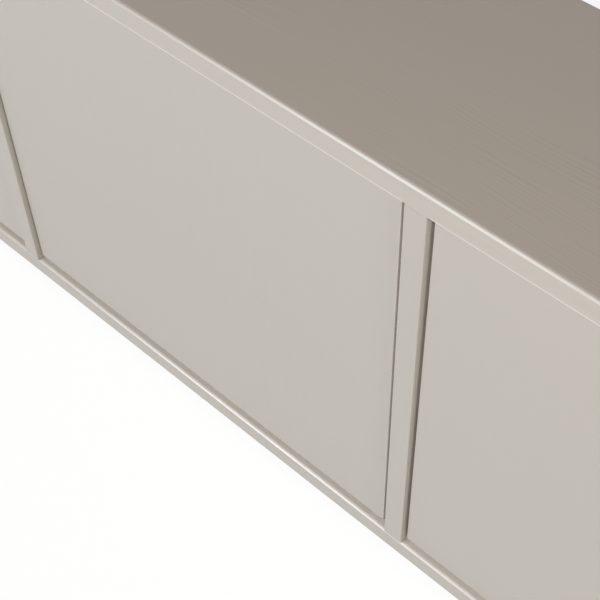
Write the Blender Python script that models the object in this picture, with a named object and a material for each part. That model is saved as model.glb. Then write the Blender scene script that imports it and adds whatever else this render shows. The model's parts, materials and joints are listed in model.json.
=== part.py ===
"""A long low television cabinet: three bays closed by plain doors that turn on pins.

Metres, +Z up. X runs along the cabinet, the doors face -Y, and the origin is on the floor
under the middle of the cabinet. The boards that show at the front are flush with each other,
and the doors lie a little behind them.
"""
import math

import bmesh
import bpy
from mathutils import Matrix

for stale in list(bpy.data.objects):
    bpy.data.objects.remove(stale, do_unlink=True)

# Whole cabinet
width = 2.000
depth = 0.300
height = 0.600
seam = 0.0003                 # between two pieces that touch
overrun = 0.004               # how far a cutter passes the face that it cuts

# Boards
board = 0.025                 # top, bottom, sides and dividers
board_arris = 0.003           # upper edges of the top and bottom boards
lower_arris = 0.002           # their lower edges
upright_arris = 0.0008

# Doors
door_thickness = 0.018
door_recess = 0.0062          # door face behind the boards' front edges
door_pivot_gap = 0.0073       # beside the edge that the door turns at
door_free_gap = 0.0038        # beside its other edge
door_head_gap = 0.003
door_foot_gap = 0.0085
door_arris = 0.0012

# Back boards, in a rebate round the back of the carcass
back_thickness = 0.006
back_inset = 0.001
rebate = 0.010
back_play = 0.0005            # between a back board's edge and its rebate

# Cable outlets
outlet_radius = 0.030
outlet_bore_radius = 0.0265
outlet_flange_radius = 0.034
outlet_flange = 0.0018
outlet_height_share = 0.5     # of the space above the shelf

# Shelves
shelf_thickness = 0.018
shelf_setback = 0.040         # behind the back of the door
shelf_end_play = 0.001
shelf_back_play = 0.002
shelf_arris = 0.001
shelf_height_share = 0.52     # underside of the shelf, up the clear height of the bay

# Shelf pins and the rows of holes for them
pin_hole_radius = 0.0025
pin_hole_depth = 0.010
pin_hole_step = 0.032
pin_hole_steps = (-1, 0, 1)
pin_inset = 0.037             # hole row from the shelf's front and back edges
pin_peg_radius = 0.0035
pin_peg_length = 0.009
pin_chamfer = 0.0008

# Pivots: a shouldered pin in the door and a collared bush in the board
pivot_inset = 0.010           # axis from the door's side edge
pivot_shank_radius = 0.0040
pivot_shank_length = 0.024
pivot_collar_radius = 0.0070
pivot_collar = 0.0012
pivot_tip_radius = 0.0030
pivot_tip_length = 0.010
pivot_chamfer = 0.0008
bush_wall = 0.0020
bush_length = 0.0125
bush_collar_radius = 0.0075
bush_floor = 0.0010           # air under the bush in its hole

# Push latches, under the top board at each door's free side
latch_inset = 0.045           # latch axis from the door's free edge
latch_drop = 0.0130           # latch axis below the top board
latch_length = 0.076
latch_radius = 0.0070
latch_lip_radius = 0.0078
latch_lip = 0.0030
latch_plate_thickness = 0.0022
latch_plate_width = 0.034
latch_plate_margin = 0.012    # plate short of the tube's back end
latch_web_width = 0.0060
latch_chamfer = 0.0010
plunger_radius = 0.0040
plunger_length = 0.060
plunger_head_radius = 0.0060
plunger_head = 0.0045
plunger_dome = 0.0012
plunger_floor = 0.0020        # air behind the plunger in its tube
strike_radius = 0.0080
strike_thickness = 0.0015
strike_chamfer = 0.0004

# Feet
foot_height = 0.012
foot_radius = 0.0150
foot_top_radius = 0.0115
foot_edge = 0.0015
foot_rim = 0.0040
foot_stem_radius = 0.0040
foot_stem_length = 0.016
foot_stem_chamfer = 0.0008
foot_end_inset = 0.050
foot_side_inset = 0.045

# Facets and forms
arris_segments = 4
eased = 0.30                  # bevel profile of the boards' arrises, near a flat chamfer
rounded = 0.5                 # bevel profile of a true quarter round
small_sides = 10
pivot_sides = 16
disc_sides = 24
outlet_sides = 36

# Places that follow from the sizes above
front = -depth / 2
rear = depth / 2
floor_of_bay = foot_height + board
roof_of_bay = height - board
bay_names = ("left", "middle", "right")
hinge_sides = (-1, 1, 1)      # -1: the door turns at its left edge, 1: at its right edge
bay_pitch = (width - board) / len(bay_names)
upright_centres = [(board - width) / 2 + bay_pitch * i for i in range(len(bay_names) + 1)]
door_back = front + door_recess + door_thickness
back_front = rear - back_inset - back_thickness
shelf_front = door_back + shelf_setback
shelf_rear = back_front - shelf_back_play
shelf_underside = floor_of_bay + (roof_of_bay - floor_of_bay) * shelf_height_share
pin_height = shelf_underside - seam - pin_peg_radius
pin_rows = (shelf_front + pin_inset, shelf_rear - pin_inset)
bush_radius = pivot_tip_radius + seam + bush_wall
latch_height = roof_of_bay - latch_drop
latch_tube_front = door_back + strike_thickness + plunger_head + seam * 3

X_AXIS = Matrix.Rotation(math.pi / 2, 4, "Y")
Y_AXIS = Matrix.Rotation(-math.pi / 2, 4, "X")
UPSIDE_DOWN = Matrix.Rotation(math.pi, 4, "X")
touch = seam / 100            # two places nearer than this are one


def material(name, colour, roughness, metallic=0.0):
    made = bpy.data.materials.new(name)
    made.use_nodes = True
    shader = made.node_tree.nodes["Principled BSDF"]
    shader.inputs["Base Color"].default_value = (*colour, 1.0)
    shader.inputs["Roughness"].default_value = roughness
    shader.inputs["Metallic"].default_value = metallic
    return made


lacquer = material("lacquer", (0.53, 0.49, 0.44), 0.45)
back_lacquer = material("back_lacquer", (0.47, 0.44, 0.40), 0.60)
steel = material("steel", (0.60, 0.60, 0.61), 0.30, 1.0)
pale_plastic = material("pale_plastic", (0.62, 0.61, 0.58), 0.40)
dark_plastic = material("dark_plastic", (0.05, 0.05, 0.05), 0.50)


def place(name, shape, finish, at=(0, 0, 0), parent=None):
    """Turn a finished bmesh into a named object at a place, under a parent if one is given."""
    mesh = bpy.data.meshes.new(name)
    bmesh.ops.recalc_face_normals(shape, faces=shape.faces)
    shape.to_mesh(mesh)
    shape.free()
    if finish:
        mesh.materials.append(finish)
    made = bpy.data.objects.new(name, mesh)
    made.location = at
    made.parent = parent
    bpy.context.collection.objects.link(made)
    return made


def block(low, high):
    """A box between two corners."""
    shape = bmesh.new()
    bmesh.ops.create_cube(shape, size=1)
    for vert in shape.verts:
        vert.co = [high[k] if vert.co[k] > 0 else low[k] for k in range(3)]
    return shape


def on_plane(edge, axis, value):
    return all(abs(vert.co[axis] - value) < touch for vert in edge.verts)


def soften(shape, radius, chosen, profile=rounded):
    """Take off the edges that the test picks out."""
    edges = [edge for edge in shape.edges if chosen(edge)]
    bmesh.ops.bevel(
        shape, geom=edges, offset=radius, segments=arris_segments, profile=profile, affect="EDGES"
    )


def turned(profile, sides, ring=False, axis=None):
    """Spin (radius, height) points about +Z; a ring's profile closes on itself."""
    shape = bmesh.new()
    verts = [shape.verts.new((radius, 0, along)) for radius, along in profile]
    edges = [shape.edges.new(pair) for pair in zip(verts, verts[1:])]
    if ring:
        edges.append(shape.edges.new((verts[-1], verts[0])))
    bmesh.ops.spin(
        shape, geom=verts + edges, cent=(0, 0, 0), axis=(0, 0, 1), dvec=(0, 0, 0),
        angle=math.tau, steps=sides, use_merge=True,
    )
    bmesh.ops.remove_doubles(shape, verts=shape.verts, dist=touch)
    if axis:
        bmesh.ops.transform(shape, matrix=axis, verts=shape.verts)
    return shape


def smooth(made):
    made.data.shade_smooth()
    made.data.set_sharp_from_angle(angle=math.radians(35))
    return made


def guide(name, shapes):
    """One hidden object that holds all the shapes a piece is cut or joined with."""
    whole = bmesh.new()
    for shape in shapes:
        bmesh.ops.recalc_face_normals(shape, faces=shape.faces)
        part = bpy.data.meshes.new(name)
        shape.to_mesh(part)
        shape.free()
        whole.from_mesh(part)
        bpy.data.meshes.remove(part)
    made = place(name, whole, None)
    made.hide_render = True
    made.display_type = "WIRE"
    return made


def combine(made, name, shapes, operation="DIFFERENCE"):
    change = made.modifiers.new(name, "BOOLEAN")
    change.operation = operation
    change.solver = "EXACT"
    change.object = guide(name, shapes)


def rod(radius, start, length, sides, axis=None):
    """A plain cylinder along the axis, from the start point, as a cutter."""
    shape = turned([(0, 0), (radius, 0), (radius, length), (0, length)], sides, axis=axis)
    bmesh.ops.translate(shape, vec=start, verts=shape.verts)
    return shape


def clear_bay(i):
    """The bay's two side faces."""
    return upright_centres[i] + board / 2, upright_centres[i + 1] - board / 2


def door_edges(i):
    """The door's left and right edges in its bay."""
    sides = clear_bay(i)
    if hinge_sides[i] > 0:
        return sides[0] + door_free_gap, sides[1] - door_pivot_gap
    return sides[0] + door_pivot_gap, sides[1] - door_free_gap


def pivot_place(i):
    """The axis that a door turns on."""
    left, right = door_edges(i)
    across = right - pivot_inset if hinge_sides[i] > 0 else left + pivot_inset
    return across, front + door_recess + door_thickness / 2


def latch_across(i):
    """The latch's place along the cabinet, at the door's free side."""
    left, right = door_edges(i)
    return left + latch_inset if hinge_sides[i] > 0 else right - latch_inset


def foot_places():
    across = width / 2 - foot_end_inset
    along = depth / 2 - foot_side_inset
    corners = [(sx * across, sy * along) for sx in (-1, 1) for sy in (-1, 1)]
    return corners + [(centre, 0) for centre in upright_centres[1:-1]]


def long_board(name, underside):
    """A top or bottom board, its edges eased all round but at the back."""
    low = (-width / 2, front, underside)
    high = (width / 2, rear, underside + board)
    shape = block(low, high)
    soften(shape, board_arris,
           lambda edge: not on_plane(edge, 1, rear) and not on_plane(edge, 2, low[2]), eased)
    soften(shape, lower_arris,
           lambda edge: not on_plane(edge, 1, rear) and on_plane(edge, 2, low[2]))
    return place(name, shape, lacquer)


def back_rebate(z_from, z_to):
    """The stopped rebate that takes the back boards' upper or lower edges."""
    reach = width / 2 - board + rebate
    return block((-reach, back_front - seam, z_from), (reach, rear + overrun, z_to))


def make_top_board():
    top = long_board("top_board", roof_of_bay)
    bushes = [
        rod(bush_radius + seam, (*pivot_place(i), roof_of_bay - overrun),
            overrun + bush_length + bush_floor, pivot_sides)
        for i in range(len(bay_names))
    ]
    combine(top, "top_cuts", bushes + [back_rebate(roof_of_bay - overrun, roof_of_bay + rebate)])


def make_bottom_board():
    bottom = long_board("bottom_board", foot_height)
    bushes = [
        rod(bush_radius + seam, (*pivot_place(i), floor_of_bay - bush_length - bush_floor),
            overrun + bush_length + bush_floor, pivot_sides)
        for i in range(len(bay_names))
    ]
    stems = [
        rod(foot_stem_radius + seam, (*at, foot_height - overrun),
            overrun + foot_stem_length + seam, pivot_sides)
        for at in foot_places()
    ]
    slot = back_rebate(floor_of_bay - rebate, floor_of_bay + overrun)
    combine(bottom, "bottom_cuts", bushes + stems + [slot])


def pin_holes(face, direction):
    """Two rows of shelf pin holes in the face of an upright; direction points into the board."""
    shapes = []
    for row in pin_rows:
        for step in pin_hole_steps:
            start = face - direction * overrun
            length = direction * (overrun + pin_hole_depth)
            at = (start, row, pin_height + step * pin_hole_step)
            shapes.append(rod(pin_hole_radius, at, length, small_sides, X_AXIS))
    return shapes


def make_uprights():
    """Two sides and two dividers between the top and bottom boards."""
    names = ("side_board_left", "divider_left", "divider_right", "side_board_right")
    for i, name in enumerate(names):
        centre = upright_centres[i]
        outer = i in (0, len(names) - 1)
        low = (centre - board / 2, front, floor_of_bay + seam)
        high = (centre + board / 2, rear if outer else back_front - seam, roof_of_bay - seam)
        shape = block(low, high)
        soften(shape, upright_arris,
               lambda edge: on_plane(edge, 1, front) and edge.verts[0].co.x == edge.verts[1].co.x)
        upright = place(name, shape, lacquer)
        cuts = []
        if i > 0:
            cuts += pin_holes(low[0], 1)
        if i < len(names) - 1:
            cuts += pin_holes(high[0], -1)
        if outer:
            inner = high[0] if i == 0 else low[0]
            outwards = math.copysign(1, inner)
            reach = sorted((inner - outwards * overrun, inner + outwards * rebate))
            cuts.append(block((reach[0], back_front - seam, low[2] - overrun),
                              (reach[1], rear + overrun, high[2] + overrun)))
        combine(upright, name + "_cuts", cuts)


def make_backs():
    """A thin board behind each bay, with its cable outlet and the outlet's plastic ring."""
    for i, bay in enumerate(bay_names):
        last = len(bay_names) - 1
        left = clear_bay(0)[0] - rebate + back_play if i == 0 else upright_centres[i] + back_play
        right = clear_bay(last)[1] + rebate - back_play if i == last else upright_centres[i + 1] - back_play
        low = (left, back_front, floor_of_bay - rebate + back_play)
        high = (right, back_front + back_thickness, roof_of_bay + rebate - back_play)
        back = place("back_board_" + bay, block(low, high), back_lacquer)
        shelf_top = shelf_underside + shelf_thickness
        middle = sum(clear_bay(i)) / 2
        centre = (middle, back_front, shelf_top + (roof_of_bay - shelf_top) * outlet_height_share)
        start = (centre[0], centre[1] - overrun, centre[2])
        hole = rod(outlet_radius, start, back_thickness + overrun * 2, outlet_sides, Y_AXIS)
        combine(back, "outlet_cut_" + bay, [hole])
        sleeve = outlet_radius - seam
        profile = [
            (outlet_bore_radius, -seam - outlet_flange),
            (outlet_flange_radius - seam, -seam - outlet_flange),
            (outlet_flange_radius, -seam - outlet_flange / 2),
            (outlet_flange_radius, -seam),
            (sleeve, -seam),
            (sleeve, back_thickness),
            (outlet_bore_radius, back_thickness),
        ]
        smooth(place("cable_ring_" + bay, turned(profile, outlet_sides, True, Y_AXIS), dark_plastic, centre))


def make_shelves():
    """A loose shelf in each bay, on four pegs."""
    for i, bay in enumerate(bay_names):
        sides = clear_bay(i)
        low = (sides[0] + shelf_end_play, shelf_front, shelf_underside)
        high = (sides[1] - shelf_end_play, shelf_rear, shelf_underside + shelf_thickness)
        shape = block(low, high)
        soften(shape, shelf_arris,
               lambda edge: on_plane(edge, 1, shelf_front) and edge.verts[0].co.z == edge.verts[1].co.z)
        place("shelf_" + bay, shape, lacquer)
        profile = [
            (0, seam - pin_hole_depth),
            (pin_hole_radius - seam - pin_chamfer, seam - pin_hole_depth),
            (pin_hole_radius - seam, seam - pin_hole_depth + pin_chamfer),
            (pin_hole_radius - seam, seam),
            (pin_peg_radius, seam),
            (pin_peg_radius, pin_peg_length - pin_chamfer),
            (pin_peg_radius - pin_chamfer, pin_peg_length),
            (0, pin_peg_length),
        ]
        count = 0
        for face, turn in ((sides[0], X_AXIS), (sides[1], X_AXIS.inverted())):
            for row in pin_rows:
                count += 1
                peg = turned(profile, small_sides, axis=turn)
                smooth(place(f"shelf_pin_{bay}_{count}", peg, steel, (face, row, pin_height)))


def make_pivots(i, bay, axis):
    """Pins on the door and bushes in the boards; the upper pair is turned over."""
    pin = [
        (0, -pivot_collar - pivot_tip_length),
        (pivot_tip_radius - pivot_chamfer, -pivot_collar - pivot_tip_length),
        (pivot_tip_radius, -pivot_collar - pivot_tip_length + pivot_chamfer),
        (pivot_tip_radius, -pivot_collar),
        (pivot_collar_radius, -pivot_collar),
        (pivot_collar_radius, 0),
        (pivot_shank_radius, 0),
        (pivot_shank_radius, pivot_shank_length - pivot_chamfer),
        (pivot_shank_radius - pivot_chamfer, pivot_shank_length),
        (0, pivot_shank_length),
    ]
    bore = pivot_tip_radius + seam
    ends = (
        ("lower", None, door_foot_gap, floor_of_bay, 1),
        ("upper", UPSIDE_DOWN, door_head_gap, roof_of_bay, -1),
    )
    for end, turn, gap, face, away in ends:
        collar = gap - pivot_collar - seam * 3
        bush = [
            (bore, -bush_length),
            (bush_radius, -bush_length),
            (bush_radius, 0),
            (bush_collar_radius, 0),
            (pivot_collar_radius, collar),
            (bore, collar),
        ]
        shape = turned(pin, pivot_sides, axis=turn)
        pin_z = face + away * (gap - seam)
        smooth(place(f"pivot_pin_{end}_{bay}", shape, steel, (0, 0, pin_z), axis))
        shape = turned(bush, pivot_sides, True, turn)
        bush_z = face + away * seam
        smooth(place(f"pivot_bush_{end}_{bay}", shape, pale_plastic, (*pivot_place(i), bush_z)))


def make_doors():
    """Each door hangs under an empty on its pivots' axis, with its pins and strike plate."""
    for i, bay in enumerate(bay_names):
        left, right = door_edges(i)
        across, along = pivot_place(i)
        axis = bpy.data.objects.new("axis_" + bay, None)
        axis.location = (across, along, 0)
        bpy.context.collection.objects.link(axis)
        half = door_thickness / 2
        low = (left - across, -half, floor_of_bay + door_foot_gap)
        high = (right - across, half, roof_of_bay - door_head_gap)
        shape = block(low, high)
        soften(shape, door_arris, lambda edge: on_plane(edge, 1, -half))
        door = place("door_" + bay, shape, lacquer, parent=axis)
        hole = pivot_shank_radius + seam
        depth_of_hole = pivot_shank_length + seam
        holes = [
            rod(hole, (across, along, low[2] - overrun), overrun + depth_of_hole, pivot_sides),
            rod(hole, (across, along, high[2] - depth_of_hole), overrun + depth_of_hole, pivot_sides),
        ]
        combine(door, "door_cuts_" + bay, holes)
        make_pivots(i, bay, axis)
        plate = [
            (0, 0),
            (strike_radius, 0),
            (strike_radius, strike_thickness - strike_chamfer),
            (strike_radius - strike_chamfer, strike_thickness),
            (0, strike_thickness),
        ]
        at = (latch_across(i) - across, half + seam, latch_height)
        smooth(place("strike_plate_" + bay, turned(plate, disc_sides, axis=Y_AXIS), steel, at, axis))


def make_latches():
    """Push latches: a tube with a fixing plate under the top board, and the plunger in it."""
    bore = plunger_radius + seam
    bore_depth = plunger_length + plunger_floor
    tube = [
        (0, latch_length),
        (latch_radius - latch_chamfer, latch_length),
        (latch_radius, latch_length - latch_chamfer),
        (latch_radius, latch_lip),
        (latch_lip_radius, latch_lip),
        (latch_lip_radius, latch_chamfer),
        (latch_lip_radius - latch_chamfer, 0),
        (bore, 0),
        (bore, bore_depth),
        (0, bore_depth),
    ]
    head_front = -seam - plunger_head
    plunger = [
        (0, head_front),
        (plunger_head_radius - plunger_dome * 2, head_front),
        (plunger_head_radius, head_front + plunger_dome),
        (plunger_head_radius, -seam),
        (plunger_radius, -seam),
        (plunger_radius, plunger_length),
        (0, plunger_length),
    ]
    for i, bay in enumerate(bay_names):
        at = (latch_across(i), latch_tube_front, latch_height)
        housing = place("latch_housing_" + bay, turned(tube, pivot_sides, axis=Y_AXIS), pale_plastic, at)
        smooth(housing)
        plate_top = roof_of_bay - seam
        plate_low = plate_top - latch_plate_thickness
        plate_back = at[1] + latch_length - latch_plate_margin
        web_low = latch_height + (bore + latch_radius) / 2
        plate = block(
            (at[0] - latch_plate_width / 2, at[1] + latch_lip, plate_low),
            (at[0] + latch_plate_width / 2, plate_back, plate_top),
        )
        soften(plate, latch_plate_thickness, lambda edge: edge.verts[0].co.z != edge.verts[1].co.z)
        web = block(
            (at[0] - latch_web_width / 2, at[1] + latch_lip, web_low),
            (at[0] + latch_web_width / 2, plate_back, (plate_low + plate_top) / 2),
        )
        combine(housing, "latch_plate_" + bay, [plate], "UNION")
        combine(housing, "latch_web_" + bay, [web], "UNION")
        smooth(place("latch_plunger_" + bay, turned(plunger, pivot_sides, axis=Y_AXIS), dark_plastic, at))


def make_feet():
    """Low adjustable feet with their stems in the bottom board."""
    pad_top = foot_height - seam
    profile = [
        (0, 0),
        (foot_radius - foot_edge, 0),
        (foot_radius, foot_edge),
        (foot_radius, foot_rim),
        (foot_top_radius, pad_top),
        (foot_stem_radius, pad_top),
        (foot_stem_radius, foot_height + foot_stem_length - foot_stem_chamfer),
        (foot_stem_radius - foot_stem_chamfer, foot_height + foot_stem_length),
        (0, foot_height + foot_stem_length),
    ]
    for number, at in enumerate(foot_places(), 1):
        smooth(place(f"foot_{number}", turned(profile, disc_sides), dark_plastic, (*at, 0)))


make_top_board()
make_bottom_board()
make_uprights()
make_backs()
make_shelves()
make_doors()
make_latches()
make_feet()
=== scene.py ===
import json
import math

import bmesh
import bpy
from mathutils import Matrix, Vector


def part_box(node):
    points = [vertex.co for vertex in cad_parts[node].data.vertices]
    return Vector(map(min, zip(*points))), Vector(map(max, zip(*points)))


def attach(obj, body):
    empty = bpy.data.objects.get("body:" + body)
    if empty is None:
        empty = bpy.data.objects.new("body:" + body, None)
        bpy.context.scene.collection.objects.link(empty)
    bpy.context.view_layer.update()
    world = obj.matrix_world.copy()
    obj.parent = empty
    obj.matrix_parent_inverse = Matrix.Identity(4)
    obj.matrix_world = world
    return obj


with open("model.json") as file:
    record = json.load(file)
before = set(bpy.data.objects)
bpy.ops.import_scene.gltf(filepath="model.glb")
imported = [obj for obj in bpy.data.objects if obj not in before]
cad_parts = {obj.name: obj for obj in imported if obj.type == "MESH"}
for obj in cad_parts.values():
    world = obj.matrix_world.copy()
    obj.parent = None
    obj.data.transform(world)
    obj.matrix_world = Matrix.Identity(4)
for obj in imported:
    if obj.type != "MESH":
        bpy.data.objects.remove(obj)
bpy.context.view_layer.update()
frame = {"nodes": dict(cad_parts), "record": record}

# The pieces that repeat along the cabinet
BAYS = ("left", "middle", "right")
UPRIGHTS = ("side_board_left", "divider_left", "divider_right", "side_board_right")

# The photograph's camera, solved from the cabinet's edges
PHOTO_SIZE = 600
FOCAL_PIXELS = 1269.6
CENTRE_PIXEL = (333.4, 341.7)
CAMERA_AT = (0.7853, -0.7488, 1.3341)
AZIMUTH = 42.52
ELEVATION = 51.23
SENSOR = 36.0
NEAREST_SEEN = 0.01

# Lamps: place, aim, size, watts and colour
LAMPS = {
    "key_lamp": ((-1.835, -4.118, 2.647), (0.1, -0.15, 0.3), (2.6, 2.2), 152, (0.965, 0.98, 0.992)),
    "side_lamp": ((3.6, -0.85, 1.1), (0.3, -0.15, 0.3), (0.8, 1.8), 26, (1.0, 0.99, 0.90)),
    "near_lamp": ((1.5, -2.0, 2.2), (0.3, -0.15, 0.5), (1.0, 1.0), 34, (1.0, 0.95, 0.915)),
    "back_lamp": ((-1.0, 6.0, 0.5), (0.0, 0.15, 0.3), (7.0, 0.9), 340, (1.0, 0.98, 0.95)),
    "left_lamp": ((-4.2, 0.35, 0.35), (0.0, 0.15, 0.3), (0.6, 0.4), 24, (1.0, 0.98, 0.95)),
}
AMBIENT = (1.0, 0.88, 0.75)
AMBIENT_STRENGTH = 0.04
WHITE = (1.0, 1.0, 1.0, 1.0)
WHITE_STRENGTH = 1.0

# The floor ends in front of the back lamp, which would leave what lies behind it grey
FLOOR_SIZE = 10
FLOOR_DROP = 0.0002
FLOOR_GLOW_SHARE = 0.75
FLOOR_GLOW = 1.17
FLOOR_COLOUR = (0.6, 0.6, 0.6, 1.0)

# Colours of the lacquer: doors and uprights, the long boards' faces and edges, the doors' edges,
# and the pale colour of the painted highlights on the edges. The bottom board's face is painted
# lighter, standing in for light bounced down from the doors, and the doors' edges are painted
# lighter, standing in for light in the gaps beside them
GREIGE = (0.516, 0.488, 0.444)
TOP_FACE = (0.536, 0.475, 0.418)
TOP_EDGE = (0.533, 0.500, 0.454)
FOOT_FACE_PAINTED_LIGHTER = (0.610, 0.572, 0.520)
DOOR_EDGE_PAINTED_LIGHTER = (0.660, 0.620, 0.565)
HIGHLIGHT_PALE = (0.80, 0.79, 0.77)

# Colours of the rest
BACK_GREIGE = (0.47, 0.44, 0.39)
PLATED = (0.62, 0.62, 0.63)
NYLON = (0.62, 0.61, 0.57)
# Painted shade: the pivot bushes are made dark to pass for the shade under the doors
GREY_NYLON_AS_SHADE = (0.43, 0.405, 0.37)
BLACK_PLASTIC = (0.045, 0.045, 0.047)

# Roughness; the top's broad face is brushed deeper and is duller
LACQUER_ROUGHNESS = 0.36
TOP_ROUGHNESS = 0.68
PAINT_ROUGHNESS = 0.58
STEEL_ROUGHNESS = 0.28
NYLON_ROUGHNESS = 0.42
DARK_PLASTIC_ROUGHNESS = 0.5

# How strongly the wood's grain shows through the lacquer, and the share of it left on edges
TOP_GRAIN = 1.0
BOARD_GRAIN = 0.6
UPRIGHT_GRAIN = 0.5
DOOR_GRAIN = 0.12
EDGE_GRAIN_SHARE = 0.35

# Patterns drawn out along the grain: features to the metre lengthwise and across it, then the
# noise's detail and, where they aren't its usual ones, its roughness and distortion
RING_BENDS = (1.8, 6.0, 2.0)
RING_CROWDING = (2.6, 48.0, 3.0)
FIGURED_PLACES = (1.9, 9.0, 2.0)
FIGURE_BREAKS = (11.0, 80.0, 1.0)
STREAKS = (8.0, 260.0, 4.0, 0.62, 0.2)
PORES = (45.0, 1500.0, 2.0, 0.6)
HIGHLIGHT_PATCHES = (35.0, 200.0, 3.0, 0.7)

# Patterns that are alike every way: features to the metre, and the noise's detail
CLOUDS = (2.5, 2.0)
ORANGE_PEEL = (420.0, 1.0)
STIPPLE = (700.0, 2.0)
PAINT_CLOUDS = (5.0, 3.0)
STEEL_CLOUDS = (120.0, 2.0)
MOULDED_GRAIN = (2600.0, 2.0)
PLASTIC_CLOUDS = (60.0, 2.0)

# Drawing marks of steel: features to the metre along each axis, and the noise's detail
STEEL_MARKS = ((400.0, 400.0, 4000.0), 2.0)

# How far the patterns swing the lacquer's colour both ways, as shares of it
FIGURE_SHADE = 0.048
STREAK_SHADE = 0.036
PORE_SHADE = 0.012
CLOUD_SHADE = 0.012

# How far they swing its roughness both ways
STREAK_GLOSS = 0.06
CLOUD_GLOSS = 0.03

# The levels of noise between which the rings' figure comes in, by place and along the grain
FIGURED_LEVELS = (0.46, 0.68)
BREAK_LEVELS = (0.35, 0.60)

# The lacquer's relief, and the share that each pattern has of it
RELIEF = 0.00016
PORE_RELIEF_SHARE = 0.45
STREAK_RELIEF_SHARE = 0.3
PEEL_RELIEF_SHARE = 0.08

# Painted board, steel and plastic: swing of colour, swing of roughness, and relief
PAINT_CLOUD_SHADE = 0.03
STIPPLE_SHADE = 0.015
PAINT_GLOSS = 0.06
STIPPLE_RELIEF = 0.0001
STEEL_SHADE = 0.05
STEEL_GLOSS = 0.10
STEEL_RELIEF = 0.00001
PLASTIC_SHADE = 0.04
PLASTIC_GLOSS = 0.08
PLASTIC_RELIEF = 0.00003

# Painted highlight on the lacquer's edges: how far it pales them, and the share it keeps where it is
# faintest
EDGE_HIGHLIGHT = 0.15
TOP_EDGE_HIGHLIGHT = 0.215
FOOT_EDGE_HIGHLIGHT = 0.61
LEAST_HIGHLIGHT_SHARE = 0.5

# Along a long board's edges: where the painted highlight is strongest, how far to the next such
# place, and how much it varies
HIGHLIGHT_PLACES = {"top_board": (0.31, 0.70, 1.0), "bottom_board": (0.12, 1.00, 0.6)}

# A painted highlight line along the top board's lower edge, up from its underside
LINE_FOOT = 0.0
LINE_MIDDLE = 0.0012
LINE_TOP = 0.0034

# How the lacquer rolls over a board's upper front edge: where it starts, how far in, how steep
ROLL_START = 0.0030
ROLL = 0.0012
ROLL_SLOPE = 1.2

# Growth rings of the veneer under the lacquer: their width and form, how far they bend and
# crowd, and where the heart of the log lies
RING_PITCH = 0.0042
RING_SHARPNESS = 1.6
RING_BEND = 0.022
RING_CROWD = 0.0065
RING_TILT = 0.03
HEART_ACROSS = -0.02
HEART_DEPTH = -0.555

# The part of a face's normal that lies along an axis, where the face starts to count as broad
# and where it does so in full; then how far off every axis it is on an arris, in the same way
BROAD_LEVELS = (0.90, 0.99)
ARRIS_LEVELS = (0.03, 0.27)

# Real edges turn at least this far; flatter ones are shaded smooth
EDGE_ANGLE = math.radians(40)
WELD = 0.00001

# Screws: the head's profile as shares of its radius and height, and its cross recess
SCREW_SIDES = 20
HEAD_SHARES = ((1.0, 0.0), (0.97, 0.35), (0.86, 0.78), (0.70, 1.0))
CROSS_SHARE = 0.60
CROSS_ARM_SHARE = 0.17
CROSS_TAPER = 0.62
CROSS_BED_SHARE = 0.25

# Where the screws sit, and how far each is turned: turns to the metre across, and up
BACK_SCREW_RADIUS = 0.0034
BACK_SCREW_HEIGHT = 0.0007
BACK_SCREW_INSET = 0.0065
BACK_SCREW_SPACING = 0.155
BACK_SCREW_TURNS = (7.3, 3.1)
LATCH_SCREW_RADIUS = 0.0029
LATCH_SCREW_HEIGHT = 0.0011
LATCH_SCREW_INSET = 0.0050
LATCH_SCREW_TURNS = 5.7
LATCH_PLATE = 0.0022
LATCH_LIP = 0.0030
LATCH_PLATE_END = 0.012

# The joints' filling, from the uprights' sides, behind their fronts and up under the arris
JOINT_INSET = 0.0004
JOINT_FACE = 0.0003
JOINT_RISE = 0.0008
JOINT_LEAN = 0.00015
JOINT_DEPTH = 0.0035


def make_camera():
    data = bpy.data.cameras.new("camera")
    data.sensor_width = SENSOR
    data.lens = FOCAL_PIXELS / PHOTO_SIZE * SENSOR
    data.shift_x = (PHOTO_SIZE / 2 - CENTRE_PIXEL[0]) / PHOTO_SIZE
    data.shift_y = (CENTRE_PIXEL[1] - PHOTO_SIZE / 2) / PHOTO_SIZE
    data.clip_start = NEAREST_SEEN
    camera = bpy.data.objects.new("camera", data)
    camera.location = CAMERA_AT
    camera.rotation_euler = (math.radians(90 - ELEVATION), 0, math.radians(AZIMUTH))
    bpy.context.scene.collection.objects.link(camera)
    bpy.context.scene.camera = camera


class Tree:
    """Adds nodes to a node tree and joins their sockets."""

    def __init__(self, tree):
        self.tree = tree

    def add(self, kind, inputs=(), **settings):
        node = self.tree.nodes.new("ShaderNode" + kind)
        for name, value in settings.items():
            setattr(node, name, value)
        for socket, value in dict(inputs).items():
            self.feed(node, socket, value)
        return node

    def feed(self, node, socket, value):
        if isinstance(value, bpy.types.NodeSocket):
            self.tree.links.new(value, node.inputs[socket])
        else:
            node.inputs[socket].default_value = value

    def maths(self, operation, first, second=0.0, third=0.0):
        return self.add("Math", {0: first, 1: second, 2: third}, operation=operation).outputs[0]

    def centred(self, value, spread):
        """A 0 to 1 value turned into one that swings by the spread to both sides of zero."""
        return self.maths("MULTIPLY_ADD", value, spread * 2, -spread)

    def ramp(self, value, low, high, form="SMOOTHSTEP"):
        """0 below the low value, 1 above the high one, and smooth between them."""
        settings = {"Value": value, "From Min": low, "From Max": high}
        return self.add("MapRange", settings, interpolation_type=form).outputs[0]

    def seen_directly(self):
        """1 on the rays that see the background itself: the camera's, mirrors' and glass's."""
        rays = self.add("LightPath").outputs
        seen = self.maths("MAXIMUM", rays["Is Camera Ray"], rays["Is Glossy Ray"])
        return self.maths("MAXIMUM", seen, rays["Is Transmission Ray"])


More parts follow.
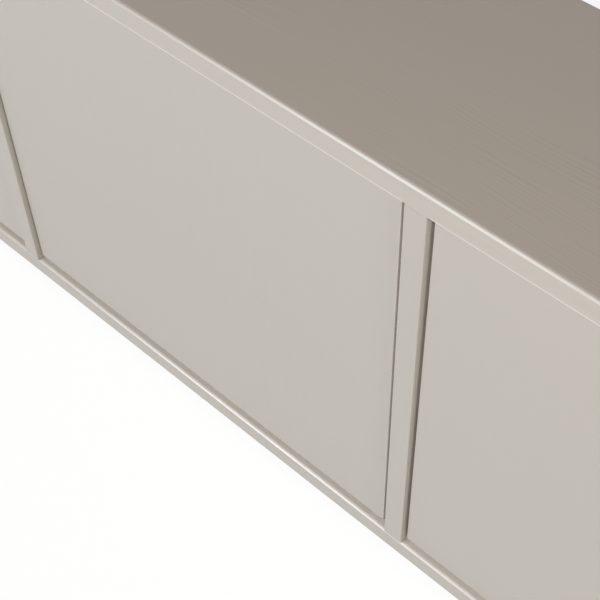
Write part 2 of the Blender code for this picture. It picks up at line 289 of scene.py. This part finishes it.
class Finish(Tree):
    """A material with a Principled shader, in the object's own coordinates."""

    def __init__(self, name, roughness, metallic=0.0):
        self.material = bpy.data.materials.new(name)
        self.material.use_nodes = True
        super().__init__(self.material.node_tree)
        self.shader = self.tree.nodes["Principled BSDF"]
        self.shader.inputs["Roughness"].default_value = roughness
        self.shader.inputs["Metallic"].default_value = metallic
        coordinates = self.add("TexCoord").outputs
        self.place = coordinates["Object"]
        self.normal = coordinates["Normal"]

    def axes(self, vector):
        """The x, y and z parts of a vector."""
        return self.add("SeparateXYZ", {0: vector}).outputs

    def noise(self, stretch, detail, roughness=0.5, distortion=0.0):
        """Noise with a number of features to the metre along each axis."""
        scaled = self.add("VectorMath", {0: self.place, 1: stretch}, operation="MULTIPLY").outputs[0]
        settings = {"Vector": scaled, "Scale": 1.0, "Detail": detail, "Roughness": roughness,
                    "Distortion": distortion}
        return self.add("TexNoise", settings).outputs[0]

    def even(self, features, detail):
        """Noise with as many features to the metre every way."""
        return self.noise((features, features, features), detail)

    def drawn_out(self, along, lengthwise, across, *detail):
        """Noise with few features to the metre along the grain and many across it."""
        stretch = tuple(lengthwise if axis == along else across for axis in "xyz")
        return self.noise(stretch, *detail)

    def mixed(self, share, first, second):
        """The first colour, turning into the second as the share goes from 0 to 1."""
        away = self.add("VectorMath", {0: second, 1: first}, operation="SUBTRACT").outputs[0]
        parts = {0: away, 1: share, 2: first}
        return self.add("VectorMath", parts, operation="MULTIPLY_ADD").outputs[0]

    def colour(self, base, change):
        """The base colour times one plus the change."""
        factor = self.maths("ADD", change, 1.0)
        shade = self.add("VectorMath", {0: base, "Scale": factor}, operation="SCALE").outputs[0]
        self.feed(self.shader, "Base Color", shade)

    def roughness(self, level, change):
        self.feed(self.shader, "Roughness", self.maths("ADD", change, level))

    def bump(self, height, depth):
        node = self.add("Bump", {"Height": height, "Distance": depth})
        self.feed(self.shader, "Normal", node.outputs[0])

    def turned(self):
        """How far the surface faces along each axis, either way."""
        return self.axes(self.add("VectorMath", {0: self.normal}, operation="ABSOLUTE").outputs[0])

    def broad(self, axis):
        """1 on the faces square to an axis, 0 on the edges between them."""
        return self.ramp(self.turned()["xyz".index(axis)], *BROAD_LEVELS)

    def arris(self):
        """1 on an edge that is taken off at 45 degrees, 0 on the flat faces."""
        sides = self.turned()
        most = self.maths("MAXIMUM", self.maths("MAXIMUM", sides[0], sides[1]), sides[2])
        return self.ramp(self.maths("SUBTRACT", 1.0, most), *ARRIS_LEVELS)


def growth_rings(made, along):
    """Rings cut lengthwise, so that they make long uneven arches along the grain."""
    axes = made.axes(made.place)
    run = axes["xyz".index(along)]
    first, second = [axes["xyz".index(axis)] for axis in "xyz" if axis != along]
    bends = made.centred(made.drawn_out(along, *RING_BENDS), RING_BEND)
    crowding = made.centred(made.drawn_out(along, *RING_CROWDING), RING_CROWD)
    near = made.maths("ADD", first, HEART_ACROSS)
    far = made.maths("ADD", second, made.maths("MULTIPLY_ADD", run, RING_TILT, HEART_DEPTH))
    square = made.maths("MULTIPLY_ADD", near, near, made.maths("MULTIPLY", far, far))
    radius = made.maths("ADD", made.maths("SQRT", square), made.maths("ADD", bends, crowding))
    wave = made.maths("SINE", made.maths("MULTIPLY", radius, math.tau / RING_PITCH))
    return made.maths("POWER", made.maths("MULTIPLY_ADD", wave, 0.5, 0.5), RING_SHARPNESS)


def ring_figure(made, along, grain):
    """The rings' change of colour, strong in some places and broken up along the grain."""
    rings = made.centred(growth_rings(made, along), FIGURE_SHADE * grain)
    places = made.ramp(made.drawn_out(along, *FIGURED_PLACES), *FIGURED_LEVELS)
    breaks = made.ramp(made.drawn_out(along, *FIGURE_BREAKS), *BREAK_LEVELS)
    return made.maths("MULTIPLY", made.maths("MULTIPLY", rings, places), breaks)


def lower_edge_highlight(made):
    """1 along the top board's lower front edge over each door, where a highlight line is painted pale."""
    axes = made.axes(made.place)
    up = made.maths("SUBTRACT", axes[2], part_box("top_board")[0].z)
    line = made.maths("MULTIPLY", made.ramp(up, LINE_FOOT, LINE_MIDDLE),
                      made.maths("SUBTRACT", 1.0, made.ramp(up, LINE_MIDDLE, LINE_TOP)))
    for name in UPRIGHTS:
        low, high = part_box(name)
        aside = made.maths("ABSOLUTE", made.maths("SUBTRACT", axes[0], (low.x + high.x) / 2))
        width = (high.x - low.x) / 2
        line = made.maths("MULTIPLY", line, made.ramp(aside, width, width + LINE_TOP))
    return line


def highlight_places(made, peak, spacing, spread):
    """How strong the painted highlight on a board's edge is from place to place: 1 on average, most at the
    peak.
    """
    along = made.axes(made.place)[0]
    turn = made.maths("MULTIPLY", made.maths("SUBTRACT", along, peak), math.tau / spacing)
    return made.maths("MULTIPLY_ADD", made.maths("COSINE", turn), spread, 1.0)


def edge_roll(made, board):
    """The lacquer's height as it falls away towards the board's upper front edge."""
    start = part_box(board)[0].y + ROLL_START
    inward = made.ramp(made.axes(made.place)[1], start, start + ROLL, "LINEAR")
    left = made.maths("SUBTRACT", 1.0, inward)
    return made.maths("MULTIPLY", made.maths("MULTIPLY", left, left), -ROLL * ROLL_SLOPE / 2)


def brushed_lacquer(name, along, broad, grain, faces=GREIGE, edges=GREIGE, edge_highlight=EDGE_HIGHLIGHT, board=None):
    """Satin lacquer over brushed wood, whose grain shows through by the share given.

    The grain runs along one axis, and the broad faces are square to another. A long board is
    named, because its front edges have a form and painted highlights of their own.
    """
    made = Finish(name, LACQUER_ROUGHNESS)
    face = made.broad(broad)
    streaks = made.drawn_out(along, *STREAKS)
    pores = made.drawn_out(along, *PORES)
    clouds = made.even(*CLOUDS)

    shown = made.maths("MULTIPLY_ADD", face, 1 - EDGE_GRAIN_SHARE, EDGE_GRAIN_SHARE)
    change = made.maths("ADD", ring_figure(made, along, grain), made.centred(streaks, STREAK_SHADE * grain))
    change = made.maths("ADD", change, made.centred(pores, PORE_SHADE * grain))
    change = made.maths("MULTIPLY", change, shown)
    change = made.maths("ADD", change, made.centred(clouds, CLOUD_SHADE))

    # A highlight painted on the arrises, broken up along the grain by patchy noise
    patchy_highlight = made.maths("MULTIPLY_ADD", made.drawn_out(along, *HIGHLIGHT_PATCHES), edge_highlight, edge_highlight * LEAST_HIGHLIGHT_SHARE)
    painted_highlight = made.maths("MULTIPLY", made.arris(), patchy_highlight)
    peel = made.maths("MULTIPLY", made.even(*ORANGE_PEEL), PEEL_RELIEF_SHARE)
    relief = made.maths("MULTIPLY_ADD", pores, PORE_RELIEF_SHARE * grain, peel)
    relief = made.maths("ADD", relief, made.maths("MULTIPLY", streaks, STREAK_RELIEF_SHARE * grain))
    relief = made.maths("MULTIPLY", relief, RELIEF)
    satin = LACQUER_ROUGHNESS
    if board:
        relief = made.maths("ADD", relief, edge_roll(made, board))
        # The painted highlight comes and goes along the board
        painted_highlight = made.maths("MULTIPLY", painted_highlight, highlight_places(made, *HIGHLIGHT_PLACES[board]))
    if board == "top_board":
        # The top board also gets a painted highlight line along its lower front edge
        painted_highlight = made.maths("MAXIMUM", painted_highlight, lower_edge_highlight(made))
        satin = made.maths("MULTIPLY_ADD", face, TOP_ROUGHNESS - LACQUER_ROUGHNESS, LACQUER_ROUGHNESS)

    # The faces' and edges' colours, paled by the painted edge highlights
    made.colour(made.mixed(painted_highlight, made.mixed(face, edges, faces), HIGHLIGHT_PALE), change)
    gloss = made.maths("ADD", made.centred(streaks, STREAK_GLOSS * grain), made.centred(clouds, CLOUD_GLOSS))
    made.roughness(satin, gloss)
    made.bump(relief, 1.0)
    return made.material


def painted_board(name, base):
    """Roller-painted thin board, matt, with a fine stipple."""
    made = Finish(name, PAINT_ROUGHNESS)
    stipple = made.even(*STIPPLE)
    clouds = made.even(*PAINT_CLOUDS)
    shade = made.centred(clouds, PAINT_CLOUD_SHADE)
    made.colour(base, made.maths("ADD", shade, made.centred(stipple, STIPPLE_SHADE)))
    made.roughness(PAINT_ROUGHNESS, made.centred(clouds, PAINT_GLOSS))
    made.bump(stipple, STIPPLE_RELIEF)
    return made.material


def plated_steel(name, base):
    """Bright plated steel with fine drawing marks and a little uneven gloss."""
    made = Finish(name, STEEL_ROUGHNESS, 1.0)
    marks = made.noise(*STEEL_MARKS)
    made.colour(base, made.centred(made.even(*STEEL_CLOUDS), STEEL_SHADE))
    made.roughness(STEEL_ROUGHNESS, made.centred(marks, STEEL_GLOSS))
    made.bump(marks, STEEL_RELIEF)
    return made.material


def moulded_plastic(name, base, roughness):
    """Moulded plastic with a fine spark-eroded grain."""
    made = Finish(name, roughness)
    grain = made.even(*MOULDED_GRAIN)
    made.colour(base, made.centred(made.even(*PLASTIC_CLOUDS), PLASTIC_SHADE))
    made.roughness(roughness, made.centred(grain, PLASTIC_GLOSS))
    made.bump(grain, PLASTIC_RELIEF)
    return made.material


# The record's material slots, then the pieces whose finish differs from their slot's
slots = {
    "lacquer": brushed_lacquer("lacquer_along_x", "x", "z", BOARD_GRAIN),
    "back_lacquer": painted_board("back_lacquer", BACK_GREIGE),
    "steel": plated_steel("steel", PLATED),
    "pale_plastic": moulded_plastic("pale_plastic", NYLON, NYLON_ROUGHNESS),
    "dark_plastic": moulded_plastic("dark_plastic", BLACK_PLASTIC, DARK_PLASTIC_ROUGHNESS),
}
upright_lacquer = brushed_lacquer("lacquer_along_z", "z", "x", UPRIGHT_GRAIN)
finishes = {
    "top_board": brushed_lacquer("top_lacquer", "x", "z", TOP_GRAIN, TOP_FACE, TOP_EDGE,
                                 TOP_EDGE_HIGHLIGHT, "top_board"),
    # The bottom board's face is painted lighter, standing in for light bounced down from the doors
    "bottom_board": brushed_lacquer("foot_lacquer", "x", "z", BOARD_GRAIN, FOOT_FACE_PAINTED_LIGHTER, GREIGE,
                                    FOOT_EDGE_HIGHLIGHT, "bottom_board"),
    "side_board": upright_lacquer,
    "divider": upright_lacquer,
    # The doors' edges are painted lighter, standing in for light in the gaps beside them
    "door": brushed_lacquer("door_lacquer", "z", "y", DOOR_GRAIN, GREIGE, DOOR_EDGE_PAINTED_LIGHTER),
    # Painted shade: the pivot bushes are dark to pass for the shade under the doors
    "pivot_bush": moulded_plastic("grey_plastic", GREY_NYLON_AS_SHADE, NYLON_ROUGHNESS),
}


def soft_edges():
    """Geometry nodes that weld a CAD mesh and shade it smooth between its real edges."""
    group = bpy.data.node_groups.new("soft_edges", "GeometryNodeTree")
    group.interface.new_socket("Mesh", in_out="INPUT", socket_type="NodeSocketGeometry")
    group.interface.new_socket("Mesh", in_out="OUTPUT", socket_type="NodeSocketGeometry")
    start = group.nodes.new("NodeGroupInput")
    end = group.nodes.new("NodeGroupOutput")
    weld = group.nodes.new("GeometryNodeMergeByDistance")
    weld.inputs["Distance"].default_value = WELD
    bare = group.nodes.new("GeometryNodeRemoveAttribute")
    bare.inputs["Name"].default_value = "custom_normal"
    faces = group.nodes.new("GeometryNodeSetShadeSmooth")
    faces.domain = "FACE"
    angle = group.nodes.new("GeometryNodeInputMeshEdgeAngle")
    sharp = group.nodes.new("FunctionNodeCompare")
    sharp.inputs["B"].default_value = EDGE_ANGLE
    edges = group.nodes.new("GeometryNodeSetShadeSmooth")
    edges.domain = "EDGE"
    edges.inputs["Shade Smooth"].default_value = False
    joins = (
        (start.outputs[0], weld.inputs["Geometry"]),
        (weld.outputs["Geometry"], bare.inputs["Geometry"]),
        (bare.outputs["Geometry"], faces.inputs[0]),
        (faces.outputs[0], edges.inputs[0]),
        (angle.outputs["Unsigned Angle"], sharp.inputs["A"]),
        (sharp.outputs[0], edges.inputs["Selection"]),
        (edges.outputs[0], end.inputs[0]),
    )
    for source, target in joins:
        group.links.new(source, target)
    return group


def dress_nodes():
    """Give every CAD node its own finish, or else its slot's, and soft edges."""
    group = soft_edges()
    for part in frame["record"]["subparts"]:
        name = part["node"]
        finish = slots[part["material_slot"]]
        for start, own in finishes.items():
            if name.startswith(start):
                finish = own
        node = frame["nodes"][name]
        node.data.materials.clear()
        node.data.materials.append(finish)
        node.modifiers.new("soft_edges", "NODES").node_group = group
        weighted = node.modifiers.new("weighted_normal", "WEIGHTED_NORMAL")
        weighted.keep_sharp = True


def ring_of(shape, radius, height):
    """A ring of points round the z axis."""
    turns = [Matrix.Rotation(math.tau * i / SCREW_SIDES, 3, "Z") for i in range(SCREW_SIDES)]
    return [shape.verts.new(turn @ Vector((radius, 0, height))) for turn in turns]


def bridge(shape, lower, upper):
    """A band of faces between two rings of as many points."""
    for i in range(len(lower)):
        j = (i + 1) % len(lower)
        shape.faces.new((lower[i], lower[j], upper[j], upper[i]))


def cross(radius, height):
    """The outline of a cross recess."""
    arm = radius * CROSS_ARM_SHARE / CROSS_SHARE
    corners = []
    for quarter in range(4):
        turn = Matrix.Rotation(math.tau * quarter / 4, 3, "Z")
        for point in ((arm, -arm), (radius, -arm), (radius, arm)):
            corners.append(turn @ Vector((*point, height)))
    return corners


def screw_mesh(name, radius, height):
    """A low domed head with a cross recess, standing on z = 0."""
    shape = bmesh.new()
    rings = [ring_of(shape, radius * out, height * up) for out, up in HEAD_SHARES]
    flange, crown = rings[0], rings[-1]
    shape.faces.new(list(reversed(flange)))
    for lower, upper in zip(rings, rings[1:]):
        bridge(shape, lower, upper)
    reach = radius * CROSS_SHARE
    mouth = [shape.verts.new(point) for point in cross(reach, height)]
    bed = [shape.verts.new(point) for point in cross(reach * CROSS_TAPER, height * CROSS_BED_SHARE)]
    rim = [edge for edge in shape.edges if all(vert in crown for vert in edge.verts)]
    around = [shape.edges.new(pair) for pair in zip(mouth, mouth[1:] + mouth[:1])]
    bmesh.ops.triangle_fill(shape, edges=rim + around, use_beauty=True, normal=(0, 0, 1))
    bridge(shape, mouth, bed)
    shape.faces.new(bed)
    bmesh.ops.recalc_face_normals(shape, faces=shape.faces)
    mesh = bpy.data.meshes.new(name)
    shape.to_mesh(mesh)
    shape.free()
    return mesh


def place_screws(name, mesh, places, finish, body):
    """One object that holds a screw at each place; a place is a matrix."""
    whole = bmesh.new()
    for place in places:
        copy = mesh.copy()
        copy.transform(place)
        whole.from_mesh(copy)
        bpy.data.meshes.remove(copy)
    joined = bpy.data.meshes.new(name)
    whole.to_mesh(joined)
    whole.free()
    joined.materials.append(finish)
    joined.shade_smooth()
    joined.set_sharp_from_angle(angle=EDGE_ANGLE)
    made = bpy.data.objects.new(name, joined)
    bpy.context.scene.collection.objects.link(made)
    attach(made, body)
    bpy.data.meshes.remove(mesh)


def steps_between(low, high, spacing):
    """Even places from one end to the other, as near to the spacing as they divide."""
    count = round((high - low) / spacing)
    return [low + (high - low) * i / count for i in range(count + 1)]


def make_back_screws():
    """Screws round the edges of each back board, a little different in their turn."""
    places = []
    for bay in BAYS:
        low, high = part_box("back_board_" + bay)
        left, right = low.x + BACK_SCREW_INSET, high.x - BACK_SCREW_INSET
        bottom, top = low.z + BACK_SCREW_INSET, high.z - BACK_SCREW_INSET
        ups = steps_between(bottom, top, BACK_SCREW_SPACING)
        spots = [(x, z) for x in steps_between(left, right, BACK_SCREW_SPACING) for z in (bottom, top)]
        spots += [(x, z) for z in ups[1:-1] for x in (left, right)]
        for x, z in spots:
            turns = x * BACK_SCREW_TURNS[0] + z * BACK_SCREW_TURNS[1]
            turn = Matrix.Rotation(math.tau * turns, 4, "Z")
            facing = Matrix.Rotation(-math.pi / 2, 4, "X")
            places.append(Matrix.Translation((x, high.y, z)) @ facing @ turn)
    mesh = screw_mesh("back_screw", BACK_SCREW_RADIUS, BACK_SCREW_HEIGHT)
    place_screws("back_screws", mesh, places, slots["steel"], "carcass")


def make_latch_screws():
    """Two screws up through each latch's fixing plate."""
    places = []
    for bay in BAYS:
        low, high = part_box("latch_housing_" + bay)
        middle = (low.y + LATCH_LIP + high.y - LATCH_PLATE_END) / 2
        for x in (low.x + LATCH_SCREW_INSET, high.x - LATCH_SCREW_INSET):
            turn = Matrix.Rotation(math.tau * x * LATCH_SCREW_TURNS, 4, "Z")
            facing = Matrix.Rotation(math.pi, 4, "X")
            places.append(Matrix.Translation((x, middle, high.z - LATCH_PLATE)) @ facing @ turn)
    mesh = screw_mesh("latch_screw", LATCH_SCREW_RADIUS, LATCH_SCREW_HEIGHT)
    place_screws("latch_screws", mesh, places, slots["steel"], "carcass")


def make_joint_lines():
    """Lacquer that fills the joints between the uprights and the top board's rounded edge."""
    shape = bmesh.new()
    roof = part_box("top_board")[0].z
    for name in UPRIGHTS:
        low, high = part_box(name)
        outline = (
            (low.y + JOINT_FACE, high.z),
            (low.y + JOINT_DEPTH, high.z),
            (low.y + JOINT_DEPTH, roof),
            (low.y + JOINT_FACE + JOINT_LEAN, roof + JOINT_RISE),
        )
        ends = [[shape.verts.new((x, *point)) for point in outline]
                for x in (low.x + JOINT_INSET, high.x - JOINT_INSET)]
        bridge(shape, *ends)
        shape.faces.new(ends[0])
        shape.faces.new(ends[1])
    bmesh.ops.recalc_face_normals(shape, faces=shape.faces)
    mesh = bpy.data.meshes.new("joint_lines")
    shape.to_mesh(mesh)
    shape.free()
    mesh.materials.append(upright_lacquer)
    made = bpy.data.objects.new("joint_lines", mesh)
    bpy.context.scene.collection.objects.link(made)
    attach(made, "carcass")


def make_world():
    """A dim warm room, seen as plain white."""
    world = bpy.data.worlds.new("world")
    world.use_nodes = True
    bpy.context.scene.world = world
    world.node_tree.nodes.clear()
    tree = Tree(world.node_tree)
    light = tree.add("Background", {"Color": (*AMBIENT, 1.0), "Strength": AMBIENT_STRENGTH})
    white = tree.add("Background", {"Color": WHITE, "Strength": WHITE_STRENGTH})
    mix = tree.add("MixShader", {0: tree.seen_directly(), 1: light.outputs[0], 2: white.outputs[0]})
    tree.add("OutputWorld", {"Surface": mix.outputs[0]})


def make_floor():
    """A white floor that keeps the cabinet's shadow."""
    bpy.ops.mesh.primitive_plane_add(size=FLOOR_SIZE, location=(0, 0, -FLOOR_DROP))
    floor = bpy.context.object
    floor.name = "floor"
    material = bpy.data.materials.new("floor")
    material.use_nodes = True
    material.node_tree.nodes.clear()
    tree = Tree(material.node_tree)
    matt = tree.add("BsdfDiffuse", {"Color": FLOOR_COLOUR})
    glow = tree.add("Emission", {"Color": WHITE, "Strength": FLOOR_GLOW})
    share = tree.maths("MULTIPLY", tree.seen_directly(), FLOOR_GLOW_SHARE)
    mix = tree.add("MixShader", {0: share, 1: matt.outputs[0], 2: glow.outputs[0]})
    tree.add("OutputMaterial", {"Surface": mix.outputs[0]})
    floor.data.materials.append(material)


def make_lamp(name, at, aim, size, power, colour):
    data = bpy.data.lights.new(name, "AREA")
    data.shape = "RECTANGLE"
    data.size, data.size_y = size
    data.energy = power
    data.color = colour
    lamp = bpy.data.objects.new(name, data)
    lamp.location = at
    lamp.visible_camera = False
    lamp.rotation_euler = (Vector(aim) - Vector(at)).to_track_quat("-Z", "Y").to_euler()
    bpy.context.scene.collection.objects.link(lamp)


make_camera()
dress_nodes()
make_back_screws()
make_latch_screws()
make_joint_lines()
make_world()
make_floor()
for lamp_name, lamp_facts in LAMPS.items():
    make_lamp(lamp_name, *lamp_facts)
bpy.context.scene.view_settings.view_transform = "Standard"
